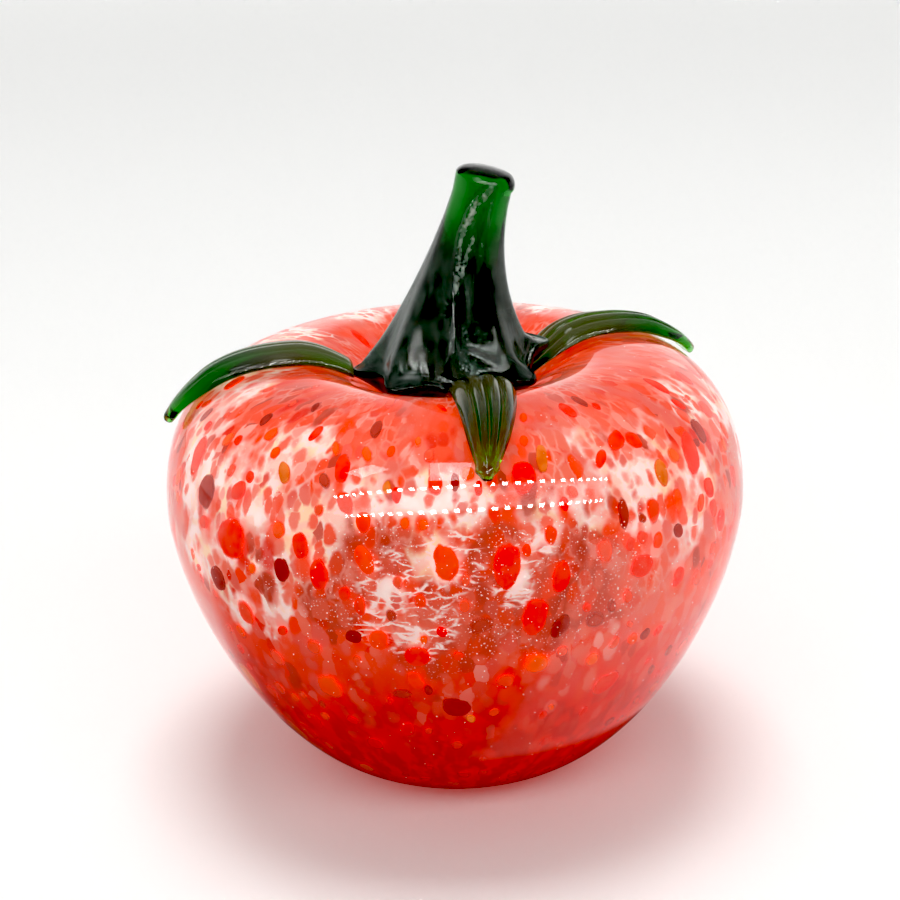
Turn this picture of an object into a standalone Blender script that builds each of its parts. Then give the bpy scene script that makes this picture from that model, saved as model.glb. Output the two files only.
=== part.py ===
"""Hand-blown art-glass tomato, as the separate masses of glass that it is built from.

An inner bubble and a coat of white powder sit inside a clear outer casing. Chips of coloured
glass lie between the powder and the casing. A pulled green stem closes the blowpipe hole in
the dip, over the roots of four ribbed leaves that lie across the shoulder.

Metres, +Z up. The origin is the centre of the flat ground base, and +X is to the right of
someone who faces the front leaf.
"""

import math
import random
from bisect import bisect_left

import bmesh
import bpy
from mathutils import Vector

MM = 0.001

# Body outline: a bowl, a broad shoulder and a dip round the stem.
BODY_RADIUS = 50.0 * MM
BASE_RADIUS = 19.0 * MM
EQUATOR_Z = 48.0 * MM
CREST_RADIUS = 27.0 * MM
CREST_Z = 73.0 * MM
DIP_DEPTH = 11.0 * MM
PIPE_HOLE_RADIUS = 5.5 * MM
BOWL_POWERS = (1.7, 1.5)
SHOULDER_POWERS = (2.4, 2.35)

# Depths of the layers under the outer skin, on the sides. The base is thicker.
CASING_DEPTHS = (0.0 * MM, 2.0 * MM)
CHIP_DEPTHS = (2.7 * MM, 3.3 * MM)
POWDER_DEPTHS = (3.6 * MM, 4.6 * MM)
BUBBLE_DEPTHS = (4.9 * MM, 6.6 * MM)
BASE_THICKENING = 0.6
GAP = 0.3 * MM

# The largest chips of coloured glass, from above the base to the crest.
CHIP_COUNT = 36
CHIP_LOWEST_RUN = 26.0 * MM
CHIP_HIGHEST_RADIUS = 29.0 * MM
CHIP_CORNERS = 10
CHIP_HALF_LENGTHS = (2.8 * MM, 4.4 * MM)
CHIP_HALF_WIDTHS = (1.8 * MM, 3.0 * MM)
CHIP_EDGE_REACH = (0.85, 1.1)
CHIP_SEED = 7
GOLDEN_ANGLE = math.pi * (3 - math.sqrt(5))

# Stem: a neck on a skirt with eight pulled points, leaning to +X, cut at a slant.
STEM_TOP_Z = 104.0 * MM
STEM_FOOT_Z = 68.5 * MM
STEM_LEAN = 7.0 * MM
STEM_LEAN_POWER = 1.75
STEM_RINGS = (0.94, 0.87, 0.79, 0.7, 0.6, 0.5, 0.4, 0.31, 0.22, 0.14)
STEM_SEGMENTS = 48
STEM_TWIST = math.radians(36)
STEM_TWIST_POWER = 0.8
NECK_RIBS, SKIRT_RIBS = 0.02, 0.22
RIB_FADE = 4.5
NECK_RADIUS = 4.8 * MM
LIP_HEIGHT = 0.15 * MM
LIP_PLACE, LIP_SPREAD = 0.94, 0.045
CUT_SLANT = 0.24
CUT_TILT = 0.05
CUT_REACH = 10
CUT_ROUNDING = 0.9 * MM
SKIRT_RADIUS = 15.8 * MM
SKIRT_FALL = 2.05
SKIRT_POINTS = 8
SKIRT_POINT_LENGTH = 3.2 * MM
SKIRT_VALLEY_RADIUS = 13.9 * MM
SKIRT_POINT_SHARPNESS = 1.3
SKIRT_EDGE = 1.6 * MM
SKIRT_EDGE_REACH = 6
SKIRT_SETBACK = 8.0 * MM
SKIRT_PHASE = math.radians(8)
SKIRT_UNDER_SHARES = (0.97, 0.86, 0.74, 0.6, 0.3, 0.0)
PLUG_RADIUS = 5.0 * MM
PLUG_LENGTH = 5.0 * MM
PLUG_SHOULDER = 1.4 * MM
PLUG_NECK_DROP = 0.4 * MM
PLUG_CHAMFER = 1.0 * MM

# Leaves: azimuth in degrees, radius of root and tip in mm, and how far each one stays wide.
# The front leaf hangs askew: its root and its tip stand this many degrees off its azimuth.
# The left one is slim at its root, by this share of its width and height.
# A root is either tucked under the skirt or set against its edge.
LEAVES = {
    "leaf_left": {"azimuth": 186, "root": 17.9, "tip": 46.6, "fullness": 4.2, "slim": 0.34},
    "leaf_front": {"azimuth": 278, "root": 15.8, "tip": 44.3, "fullness": 2.4, "askew": (6.0, -2.0)},
    "leaf_right": {"azimuth": 22, "root": 13.9, "tip": 44.8, "fullness": 3.0},
    "leaf_back": {"azimuth": 94, "root": 13.9, "tip": 44.5, "fullness": 3.0},
}
TUCKED_LEAVES = ("leaf_right", "leaf_back")
LEAF_HALF_WIDTHS = (5.5 * MM, 1.0 * MM)
LEAF_TAPER = 0.8
LEAF_HEIGHT = 2.8 * MM
LEAF_TAIL_THINNING = 0.35
LEAF_TIP_LIFT = 0.9 * MM
SLIM_REACH = 0.38
LEAF_RIBS = 4
LEAF_GROOVE = 0.14
LEAF_EDGE_HEIGHT = 0.18
LEAF_UNDERSIDE_WIDTH = 0.92
LEAF_CROWN_POINTS, LEAF_UNDER_POINTS = 16, 5
LEAF_SECTIONS = 12
LEAF_CAPS = (0.4 * MM, 0.9 * MM)
TUCKED_ROOT_WIDTH = 0.75
ROOT_HEIGHT, TUCKED_ROOT_HEIGHT = 0.9, 0.45
CHANNEL_HALF_WIDTHS = (6.2 * MM, 9.0 * MM)
CHANNEL_RADII = (11.2 * MM, 12.8 * MM)
CHANNEL_HEIGHT = 2.9 * MM

# Colours and finish.
CLEAR = (0.96, 0.97, 0.96)
POWDER = (0.93, 0.72, 0.66)
RED = (0.80, 0.035, 0.010)
ORANGE = (0.90, 0.13, 0.010)
DARK_RED = (0.30, 0.020, 0.015)
AMBER = (0.85, 0.33, 0.06)
GREEN = (0.010, 0.170, 0.025)
POLISHED = 0.03
GLASS_IOR = 1.52

# How finely the faces are cut, and the angle beyond which an edge stays sharp.
LAYER_SEGMENTS = 32
BOWL_RINGS = 8
SHOULDER_RINGS = 7
DIP_RINGS = 7
OUTLINE_STEPS = 160
NORMAL_REACH = 2
CHIP_PLACE_STEPS = 600
CREASE = math.radians(50)
CHIP_CREASE = math.radians(80)


def smoothstep(low, high, value):
    t = min(1.0, max(0.0, (value - low) / (high - low)))
    return t * t * (3 - 2 * t)


def turned(radius, azimuth, z):
    return Vector((radius * math.cos(azimuth), radius * math.sin(azimuth), z))


def dip_z(radius):
    """Height of the outer skin inside the crest."""
    return CREST_Z - DIP_DEPTH * (1 + math.cos(math.pi * radius / CREST_RADIUS)) / 2


class Skin:
    """The body's outer half outline, read by the distance run along it from the base centre."""

    def __init__(self, steps=OUTLINE_STEPS):
        quarter = [math.pi / 2 * i / steps for i in range(steps + 1)]
        bowl = [
            (
                BASE_RADIUS + (BODY_RADIUS - BASE_RADIUS) * math.sin(a) ** (2 / BOWL_POWERS[0]),
                EQUATOR_Z * (1 - max(0.0, math.cos(a)) ** (2 / BOWL_POWERS[1])),
            )
            for a in quarter
        ]
        width, height = BODY_RADIUS - CREST_RADIUS, CREST_Z - EQUATOR_Z
        shoulder = [
            (
                CREST_RADIUS + width * max(0.0, math.cos(a)) ** (2 / SHOULDER_POWERS[0]),
                EQUATOR_Z + height * math.sin(a) ** (2 / SHOULDER_POWERS[1]),
            )
            for a in quarter
        ]
        dip_radii = [CREST_RADIUS * (1 - i / steps) for i in range(steps + 1)]
        dip = [(r, dip_z(r)) for r in dip_radii]
        self.points = [(0.0, 0.0)] + bowl + shoulder[1:] + dip[1:]
        self.runs = [0.0]
        for a, b in zip(self.points, self.points[1:]):
            self.runs.append(self.runs[-1] + math.dist(a, b))
        self.equator = self.runs[len(bowl)]
        self.crest = self.runs[len(bowl) + steps]

    def span(self, run):
        i = min(len(self.runs) - 1, max(1, bisect_left(self.runs, run)))
        return i, (run - self.runs[i - 1]) / (self.runs[i] - self.runs[i - 1])

    def at(self, run):
        """(radius, z) of the skin, and its outward normal there as (radial, z)."""
        i, share = self.span(run)
        a, b = self.points[i - 1], self.points[i]
        last, near = len(self.points) - 1, NORMAL_REACH
        c, d = self.points[max(0, i - near)], self.points[min(last, i + near - 1)]
        radial, up = d[0] - c[0], d[1] - c[1]
        length = math.hypot(radial, up)
        place = (a[0] + (b[0] - a[0]) * share, a[1] + (b[1] - a[1]) * share)
        return place, (up / length, -radial / length)

    def under(self, run, depth):
        """(radius, z) of the surface that lies this deep under the skin on the sides."""
        (radius, z), (out, up) = self.at(run)
        below = max(0.0, 1 - z / EQUATOR_Z)
        depth *= 1 + BASE_THICKENING * below * below
        if run <= BASE_RADIUS:
            return radius, z + depth
        return radius - out * depth, z - up * depth

    def over(self, run, azimuth, height):
        """The point at this height over the skin."""
        (radius, z), (out, up) = self.at(run)
        return turned(radius + out * height, azimuth, z + up * height)

    def run_at_radius(self, radius):
        """Distance along the outline to this radius, above the equator."""
        for i in range(1, len(self.points)):
            if self.runs[i] > self.equator and self.points[i][0] <= radius:
                return self.runs[i]
        return self.runs[-1]


def clear_scene():
    for obj in list(bpy.data.objects):
        bpy.data.objects.remove(obj)


def glass(name, colour, transmission=1.0):
    material = bpy.data.materials.new(name)
    material.use_nodes = True
    shader = material.node_tree.nodes["Principled BSDF"]
    shader.inputs["Base Color"].default_value = (*colour, 1.0)
    shader.inputs["Roughness"].default_value = POLISHED
    shader.inputs["Metallic"].default_value = 0.0
    shader.inputs["Transmission Weight"].default_value = transmission
    shader.inputs["IOR"].default_value = GLASS_IOR
    material.diffuse_color = (*colour, 1.0)
    return material


def add_object(name, bm, material, assembly, crease=CREASE):
    bmesh.ops.recalc_face_normals(bm, faces=bm.faces)
    mesh = bpy.data.meshes.new(name)
    bm.to_mesh(mesh)
    bm.free()
    mesh.materials.append(material)
    mesh.shade_smooth()
    mesh.set_sharp_from_angle(angle=crease)
    obj = bpy.data.objects.new(name, mesh)
    obj.parent = assembly
    bpy.context.scene.collection.objects.link(obj)
    return obj


def skin_rings(bm, rings):
    """Joins closed rings of vertices in order. A ring of one vertex is a pole."""
    made = [[bm.verts.new(point) for point in ring] for ring in rings]
    for a, b in zip(made, made[1:]):
        count = max(len(a), len(b))
        for i in range(count):
            j = (i + 1) % count
            corners = [a[i % len(a)], a[j % len(a)], b[j % len(b)], b[i % len(b)]]
            distinct = list(dict.fromkeys(corners))
            bm.faces.new(distinct)


def turned_ring(radius, z, segments):
    if radius < 1e-9:
        return [Vector((0, 0, z))]
    return [turned(radius, 2 * math.pi * i / segments, z) for i in range(segments)]


def layer_runs(skin):
    """Runs of the rings that every layer shares, so that the layers' faces stay parallel."""
    hole = skin.run_at_radius(PIPE_HOLE_RADIUS)
    stretches = [
        (BASE_RADIUS, skin.equator, BOWL_RINGS),
        (skin.equator, skin.crest, SHOULDER_RINGS),
        (skin.crest, hole, DIP_RINGS),
    ]
    runs = [0.0, BASE_RADIUS]
    for start, end, count in stretches:
        runs += [start + (end - start) * (i + 1) / count for i in range(count)]
    return runs


def layer(name, skin, depths, material, assembly):
    """A shell of glass between two depths, open at the blowpipe hole in the dip."""
    runs = layer_runs(skin)
    outer = [skin.under(run, depths[0]) for run in runs]
    inner = [skin.under(run, depths[1]) for run in reversed(runs)]
    bm = bmesh.new()
    skin_rings(bm, [turned_ring(r, z, LAYER_SEGMENTS) for r, z in outer + inner])
    return add_object(name, bm, material, assembly)


def chip_places(skin):
    """Evenly shared places for the chips, as (run, azimuth), on a golden-angle spiral."""
    low, high = CHIP_LOWEST_RUN, skin.run_at_radius(CHIP_HIGHEST_RADIUS)
    steps = CHIP_PLACE_STEPS
    runs = [low + (high - low) * i / steps for i in range(steps + 1)]
    areas = [0.0]
    for run in runs[1:]:
        areas.append(areas[-1] + skin.at(run)[0][0])
    shares = [areas[-1] * (i + 0.5) / CHIP_COUNT for i in range(CHIP_COUNT)]
    return [(runs[bisect_left(areas, share)], i * GOLDEN_ANGLE) for i, share in enumerate(shares)]


def chip(name, skin, run, azimuth, dice, material, assembly):
    """One flattened lens of glass, longer along the meridian, as blowing stretches it."""
    half_length = dice.uniform(*CHIP_HALF_LENGTHS)
    half_width = dice.uniform(*CHIP_HALF_WIDTHS)
    radius = skin.at(run)[0][0]

    def point(along, across, depth):
        r, z = skin.under(run + along, depth)
        return turned(r, azimuth + across / radius, z)

    rim = []
    for i in range(CHIP_CORNERS):
        angle = 2 * math.pi * i / CHIP_CORNERS
        reach = dice.uniform(*CHIP_EDGE_REACH)
        along = half_length * reach * math.sin(angle)
        across = half_width * reach * math.cos(angle)
        rim.append(point(along, across, sum(CHIP_DEPTHS) / 2))
    bm = bmesh.new()
    skin_rings(bm, [[point(0, 0, CHIP_DEPTHS[0])], rim, [point(0, 0, CHIP_DEPTHS[1])]])
    return add_object(name, bm, material, assembly, crease=CHIP_CREASE)


def chips(skin, materials, assembly):
    """Deals the chips out in turn, so that each colour is spread over the whole body."""
    dice = random.Random(CHIP_SEED)
    deal = ["red", "dark_red", "red", "orange", "red", "amber"]
    made = dict.fromkeys(deal, 0)
    for i, (run, azimuth) in enumerate(chip_places(skin)):
        colour = deal[i % len(deal)]
        made[colour] += 1
        name = f"{colour}_chip_{made[colour]:02d}"
        chip(name, skin, run, azimuth, dice, materials[colour], assembly)


def angle_between(a, b):
    return abs(math.remainder(a - b, 2 * math.pi))


def point_share(azimuth):
    """1 on a pulled point of the skirt and 0 in the valley between two."""
    wave = (1 + math.cos(SKIRT_POINTS * (azimuth - SKIRT_PHASE))) / 2
    return wave**SKIRT_POINT_SHARPNESS


def leaf_azimuth(name):
    return math.radians(LEAVES[name]["azimuth"])


def edge_radius(azimuth):
    """The skirt's edge. The point that would meet the front leaf's root is left short."""
    front = angle_between(azimuth, leaf_azimuth("leaf_front"))
    kept = smoothstep(0.3, 1.0, front * SKIRT_POINTS / math.pi)
    return SKIRT_VALLEY_RADIUS + SKIRT_POINT_LENGTH * point_share(azimuth) * kept


def channel_height(azimuth, radius):
    """How far the skirt is raised to pass over a tucked leaf root."""
    nearest = min(angle_between(azimuth, leaf_azimuth(name)) for name in TUCKED_LEAVES)
    beside = 1 - smoothstep(*CHANNEL_HALF_WIDTHS, nearest * radius)
    return CHANNEL_HEIGHT * beside * smoothstep(*CHANNEL_RADII, radius)


def skirt_underside(azimuth, radius):
    """The skirt's lower face, which follows the dip and passes over the tucked leaves."""
    return dip_z(radius) + GAP + channel_height(azimuth, radius)


def stem_ring(height, scale=1.0, drop=0.0):
    """One ring of the stem's side. height is 0 at the skirt's edge and 1 at the cut end."""
    radius = NECK_RADIUS + (SKIRT_RADIUS - NECK_RADIUS) * (1 - height) ** SKIRT_FALL
    radius += LIP_HEIGHT * math.exp(-(((height - LIP_PLACE) / LIP_SPREAD) ** 2))
    ribs = NECK_RIBS + (SKIRT_RIBS - NECK_RIBS) * (1 - height) ** RIB_FADE
    twist = STEM_TWIST * height**STEM_TWIST_POWER
    centre = Vector((STEM_LEAN * height**STEM_LEAN_POWER, 0, 0))
    ring = []
    for i in range(STEM_SEGMENTS):
        azimuth = 2 * math.pi * i / STEM_SEGMENTS
        reach = scale * radius * (1 + ribs * (point_share(azimuth + twist) - 0.4))
        reach = min(reach, edge_radius(azimuth) - SKIRT_SETBACK * height)
        rim_z = skirt_underside(azimuth, radius) + SKIRT_EDGE
        z = STEM_FOOT_Z + (STEM_TOP_Z - STEM_FOOT_Z) * height - drop
        z += (rim_z - STEM_FOOT_Z) * (1 - height) ** SKIRT_EDGE_REACH
        cut = CUT_TILT * math.sin(azimuth) - CUT_SLANT * math.cos(azimuth)
        z += cut * reach * height**CUT_REACH
        ring.append(turned(reach, azimuth, z) + centre)
    return ring


def skirt_ring(share, lift=0.0):
    """A ring of the skirt's edge or lower face. share 1 is its edge, 0 the plug's shoulder."""
    inner = PLUG_RADIUS + PLUG_SHOULDER
    ring = []
    for i in range(STEM_SEGMENTS):
        azimuth = 2 * math.pi * i / STEM_SEGMENTS
        radius = inner + (edge_radius(azimuth) - inner) * share
        ring.append(turned(radius, azimuth, skirt_underside(azimuth, radius) + lift))
    return ring


def stem(material, assembly):
    """The neck, its skirt and the plug that closes the blowpipe hole, in one piece."""
    plug_top = dip_z(PLUG_RADIUS) + GAP
    plug_foot = dip_z(0.0) - PLUG_LENGTH
    cut_end = [stem_ring(1.0, scale=0.55), stem_ring(1.0, scale=0.86)]
    cut_centre = sum(cut_end[0], Vector()) / STEM_SEGMENTS
    rings = [[cut_centre], *cut_end, stem_ring(1.0, scale=0.99, drop=CUT_ROUNDING)]
    rings += [stem_ring(height) for height in STEM_RINGS]
    rings += [skirt_ring(0.93, lift=SKIRT_EDGE), skirt_ring(1.0, lift=0.5 * SKIRT_EDGE)]
    rings += [skirt_ring(share) for share in SKIRT_UNDER_SHARES]
    rings += [
        turned_ring(PLUG_RADIUS, plug_top - PLUG_NECK_DROP, STEM_SEGMENTS),
        turned_ring(PLUG_RADIUS, plug_foot + PLUG_CHAMFER, STEM_SEGMENTS),
        turned_ring(0.75 * PLUG_RADIUS, plug_foot, STEM_SEGMENTS),
        [Vector((0, 0, plug_foot))],
    ]
    bm = bmesh.new()
    skin_rings(bm, rings)
    return add_object("stem", bm, material, assembly)


def leaf_half_width(share, tucked, fullness):
    """Half width at this share of the leaf's length, from the root to the narrow tip."""
    widest, narrowest = LEAF_HALF_WIDTHS
    root = 1.0
    if tucked:
        root = TUCKED_ROOT_WIDTH + (1 - TUCKED_ROOT_WIDTH) * smoothstep(0.0, 0.25, share)
    return narrowest + (widest - narrowest) * root * (1 - share**fullness) ** LEAF_TAPER


def leaf_height(share, tucked):
    root = TUCKED_ROOT_HEIGHT if tucked else ROOT_HEIGHT
    rise = root + (1 - root) * smoothstep(0.04, 0.3, share)
    return LEAF_HEIGHT * rise * (1 - LEAF_TAIL_THINNING * smoothstep(0.7, 1.0, share))


def leaf_ring(skin, run, azimuth, half_width, height, lift):
    """One cross-section: a ribbed crown over a flat underside that follows the skin."""
    radius = skin.at(run)[0][0]
    ring = []
    for i in range(LEAF_CROWN_POINTS + 1):
        angle = math.pi * (i / LEAF_CROWN_POINTS - 0.5)
        across = half_width * math.sin(angle)
        groove = LEAF_GROOVE * (1 - math.cos(2 * math.pi * LEAF_RIBS * i / LEAF_CROWN_POINTS)) / 2
        crown = LEAF_EDGE_HEIGHT + (1 - LEAF_EDGE_HEIGHT) * math.cos(angle) * (1 - groove)
        ring.append(skin.over(run, azimuth + across / radius, GAP + lift + height * crown))
    for i in range(1, LEAF_UNDER_POINTS):
        across = half_width * (1 - 2 * i / LEAF_UNDER_POINTS) * LEAF_UNDERSIDE_WIDTH
        ring.append(skin.over(run, azimuth + across / radius, GAP + lift))
    return ring


def leaf(name, skin, material, assembly):
    """A ribbed leaf from the skirt, over the crest and down the shoulder."""
    spec = LEAVES[name]
    tucked, fullness, slim = name in TUCKED_LEAVES, spec["fullness"], spec.get("slim", 0.0)
    askew = [math.radians(turn) for turn in spec.get("askew", (0.0, 0.0))]
    root_azimuth, tip_azimuth = leaf_azimuth(name) + askew[0], leaf_azimuth(name) + askew[1]
    root, tip = skin.run_at_radius(spec["root"] * MM), skin.run_at_radius(spec["tip"] * MM)
    rings = []
    for i in range(LEAF_SECTIONS + 1):
        share = i / LEAF_SECTIONS
        run = root + (tip - root) * share
        azimuth = root_azimuth + (tip_azimuth - root_azimuth) * share
        lift = LEAF_TIP_LIFT * smoothstep(0.75, 1.0, share)
        kept = 1 - slim * (1 - smoothstep(0.0, SLIM_REACH, share))
        half_width = kept * leaf_half_width(share, tucked, fullness)
        rings.append(leaf_ring(skin, run, azimuth, half_width, kept * leaf_height(share, tucked), lift))
    root_cap, tip_cap = LEAF_CAPS
    tip_height = GAP + LEAF_TIP_LIFT + 0.5 * leaf_height(1.0, tucked)
    root_height = GAP + 0.5 * (1 - slim) * leaf_height(0.0, tucked)
    rings.insert(0, [skin.over(root + root_cap, root_azimuth, root_height)])
    rings.append([skin.over(tip - tip_cap, tip_azimuth, tip_height)])
    bm = bmesh.new()
    skin_rings(bm, rings)
    return add_object(name, bm, material, assembly)


def main():
    clear_scene()
    assembly = bpy.data.objects.new("glass_tomato", None)
    bpy.context.scene.collection.objects.link(assembly)
    skin = Skin()
    clear_glass = glass("clear_glass", CLEAR)
    green_glass = glass("green_glass", GREEN)
    layer("clear_casing", skin, CASING_DEPTHS, clear_glass, assembly)
    powder = glass("white_powder", POWDER, transmission=0.3)
    layer("white_powder_layer", skin, POWDER_DEPTHS, powder, assembly)
    layer("inner_bubble", skin, BUBBLE_DEPTHS, clear_glass, assembly)
    chip_glasses = {
        "red": glass("red_glass", RED, transmission=0.5),
        "orange": glass("orange_glass", ORANGE, transmission=0.5),
        "dark_red": glass("dark_red_glass", DARK_RED, transmission=0.7),
        "amber": glass("amber_glass", AMBER, transmission=0.7),
    }
    chips(skin, chip_glasses, assembly)
    stem(green_glass, assembly)
    for name in LEAVES:
        leaf(name, skin, green_glass, assembly)


main()
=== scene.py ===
"""Looks of the hand-blown art-glass tomato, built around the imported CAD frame."""

import random
from bisect import bisect_left
from math import atan2, cos, dist, exp, hypot, pi, radians, remainder, sin, sqrt, tau

import bmesh
import bpy
import numpy as np
from mathutils import Matrix, Vector


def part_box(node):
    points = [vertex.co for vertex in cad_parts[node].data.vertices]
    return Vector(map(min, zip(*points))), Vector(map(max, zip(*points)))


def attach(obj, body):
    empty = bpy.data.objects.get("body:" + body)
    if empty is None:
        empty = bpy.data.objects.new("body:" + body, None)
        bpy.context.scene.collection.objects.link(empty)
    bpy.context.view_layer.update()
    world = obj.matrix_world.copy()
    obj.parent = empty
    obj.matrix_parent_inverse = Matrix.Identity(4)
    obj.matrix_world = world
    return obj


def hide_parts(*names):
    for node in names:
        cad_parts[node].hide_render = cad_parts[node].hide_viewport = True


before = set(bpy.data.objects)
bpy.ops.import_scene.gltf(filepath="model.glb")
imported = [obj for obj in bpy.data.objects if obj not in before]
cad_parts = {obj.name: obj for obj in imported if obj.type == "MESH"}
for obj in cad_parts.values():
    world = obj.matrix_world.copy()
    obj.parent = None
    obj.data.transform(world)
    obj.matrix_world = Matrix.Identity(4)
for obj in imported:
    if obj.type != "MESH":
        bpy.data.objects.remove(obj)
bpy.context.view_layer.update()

MM = 0.001
NODES = sorted(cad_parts)
CHIP_COLOURS = ("red", "orange", "dark_red", "amber")

# The body's outline comes from the casing's box and the same powers as the CAD outline.
BODY_RADIUS, _, CREST_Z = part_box("clear_casing")[1]
BASE_RADIUS = 0.38 * BODY_RADIUS
CREST_RADIUS = 0.54 * BODY_RADIUS
EQUATOR_Z = 48.0 * MM
DIP_DEPTH = 11.0 * MM
PIPE_HOLE_RADIUS = 5.5 * MM
BOWL_POWERS = (1.7, 1.5)
SHOULDER_POWERS = (2.4, 2.35)
OUTLINE_STEPS = 400
NORMAL_REACH = 4
BASE_THICKENING = 0.6

# Depths under the outer skin. The casing is fused to the powder: its inner face lies in it.
CASING_FUSED_DEPTH = 4.0 * MM
POWDER_DEPTHS = (3.4 * MM, 4.6 * MM)
BUBBLE_DEPTHS = (4.9 * MM, 6.6 * MM)
CHIP_TOP_DEPTH = 2.3 * MM
CHIP_RIM_DEPTH = 3.3 * MM
CHIP_FOOT_DEPTH = 3.45 * MM

# How finely the layers are cut, and the casing's waves: (share, waves round, twist per metre up).
BASE_RINGS = 10
CASING_SEGMENTS, CASING_RINGS = 224, 150
POWDER_SEGMENTS, POWDER_RINGS = 224, 150
BUBBLE_SEGMENTS, BUBBLE_RINGS = 96, 60
CASING_RIPPLE = 0.10 * MM
CASING_WAVES = ((0.6, 3, 70), (0.4, 5, -110))
RIPPLE_RISE = (1 * MM, 12 * MM)

# Stem: a neck on a skirt with pulled points, leaning to +X, with a domed cut at a slant.
STEM_TOP_Z = 104.0 * MM
STEM_FOOT_Z = 68.5 * MM
STEM_HEIGHT = STEM_TOP_Z - STEM_FOOT_Z
STEM_LEAN = 7.0 * MM
STEM_LEAN_POWER = 1.75
STEM_SEGMENTS = 240
STEM_SIDE = (0.90, 0.12)
STEM_SIDE_STEPS = 70
STEM_TWIST = radians(36)
STEM_TWIST_POWER = 0.8
NECK_RADIUS = 4.8 * MM
SKIRT_RADIUS = 15.8 * MM
SKIRT_FALL = 2.05
SKIRT_POINTS = 8
SKIRT_POINT_LENGTH = 3.2 * MM
SKIRT_POINT_SHARPNESS = 1.3
SKIRT_VALLEY_RADIUS = 13.9 * MM
SKIRT_EDGE = 1.5 * MM
SKIRT_EDGE_REACH = 6
SKIRT_EDGE_STEPS = 6
SKIRT_SETBACK = 8.0 * MM
SKIRT_PHASE = radians(8)
SKIRT_UNDER_SHARES = (0.985, 0.95, 0.9, 0.8, 0.7, 0.6, 0.4, 0.2, 0.0)
SCALLOP_HEIGHT = 2.4 * MM
SCALLOP_SHARES = (0.6, 1.0)
CUT_SLANT = 0.24
CUT_TILT = 0.05
CUT_REACH = 10
CUT_DOME = 0.7 * MM
CUT_ROUNDING = (0.8 * MM, 1.7 * MM)
CUT_FACE_SHARES = (0.15, 0.3, 0.45, 0.6, 0.7)
CUT_CORNER_STEPS = 8
LIP_HEIGHT = 0.15 * MM
LIP_SPREAD = 0.04
PLUG_RADIUS = 5.0 * MM
PLUG_LENGTH = 5.0 * MM
PLUG_SHOULDER = 1.4 * MM
PLUG_NECK_DROP = 0.1 * MM
PLUG_CHAMFER = 1.0 * MM

# The stem's ribs, the part of its front where they are faint, and the rib and facet beside its
# streak: depths are shares of the radius, and the pairs are (azimuth, half width) in degrees.
NECK_RIBS, SKIRT_RIBS = 0.02, 0.20
RIB_FADE = 4.5
RIB_LEVEL = 0.4
SMOOTH_FRONT = (300, 28)
SMOOTHING = 0.75
FRONT_SPAN = ((0.05, 0.25), (0.80, 0.95))
FRONT_RIB, FRONT_RIB_DEPTH = (-3, 5), 0.06
FRONT_FACET, FRONT_FACET_DEPTH = (18, 15), 0.10

# The bright streak down the front of the stem, a painted highlight over real frosting: (height, azimuth
# in degrees) of its middle.
STREAK = ((0.05, 274), (0.40, 269), (0.60, 258), (0.75, 251), (0.85, 256), (0.95, 275))
CRESCENT_WIDENING, CRESCENT_SPAN = (0.70, 0.86), ((0.42, 0.52), (0.92, 0.97))
ARC_BESIDE, ARC_SPAN = ((0.53, 0.74), (4, 22)), ((0.48, 0.56), (0.70, 0.76))

# Hazy places, of real frosting with a painted sheen: how strong, (azimuth or degrees beside the streak,
# half width), and over which height.
BAND_HAZE, BAND, BAND_SPAN = 0.42, (291, 6), ((0.45, 0.60), (0.86, 0.94))
FACET_HAZE, HAZY_FACET, FACET_TOP = 0.36, (15, 13), (0.86, 0.94)
PAD_HAZE, HAZY_PAD, PAD_TOP = 0.44, (9, 9), (0.30, 0.42)
SKIRT_HAZE, HAZE_FOOT, HAZE_TOP = 0.28, (0.0, 0.12), (0.55, 0.82)

# Leaves: azimuth in degrees, radius of root and tip in mm, how deep the grooves between the ribs
# are, and how far each one stays wide. askew turns the root and the tip off the azimuth, in
# degrees, and slim thins the root by this share. A root is tucked under the skirt or set against it.
LEAVES = {
    "leaf_left": {
        "azimuth": 186, "root": 17.4, "tip": 46.6, "groove": 0.05, "fullness": 4.2, "slim": 0.34,
    },
    "leaf_front": {
        "azimuth": 278, "root": 15.8, "tip": 44.3, "groove": 0.55, "fullness": 2.4, "askew": (6.0, -2.0),
    },
    "leaf_right": {"azimuth": 22, "root": 13.9, "tip": 44.8, "groove": 0.30, "fullness": 3.0},
    "leaf_back": {"azimuth": 94, "root": 13.9, "tip": 44.5, "groove": 0.30, "fullness": 3.0},
}
TUCKED_LEAVES = ("leaf_right", "leaf_back")
LEAF_SECTIONS = 90
LEAF_CROWN_POINTS = 64
LEAF_UNDER_POINTS = 16
LEAF_UNDERSIDE_WIDTH = 0.94
LEAF_RIBS = 4
LEAF_EDGE_HEIGHT = 0.15
LEAF_HALF_WIDTH = 5.5 * MM
LEAF_TAPER = 0.8
LEAF_HEIGHT = 2.8 * MM
LEAF_TAIL_THINNING = 0.35
LEAF_TIP_LIFT = 0.9 * MM
LEAF_TIP_RADIUS = 1.0 * MM
LEAF_TIP_STEPS = (0.35, 0.65, 0.85)
LEAF_BEAD = 0.35 * MM
LEAF_ROOT_CAP = 0.3 * MM
SLIM_REACH = 0.38
CHANNEL_HALF_WIDTHS = (6.2 * MM, 9.0 * MM)
CHANNEL_RADII = (11.2 * MM, 12.8 * MM)
CHANNEL_HEIGHT = 2.9 * MM
GAP = 0.25 * MM

# The camera, at the photograph's angle.
CAMERA_ELEVATION = radians(22.1)
CAMERA_ROLL = radians(-1.59)
CAMERA_DISTANCE = 0.300
CAMERA_TARGET = Vector((0, 0, 0.045))
CAMERA_LENS = 67.94
CAMERA_SHIFT = (-0.0061, 0.059)


def smoothstep(low, high, value):
    t = min(1.0, max(0.0, (value - low) / (high - low)))
    return t * t * (3 - 2 * t)


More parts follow.
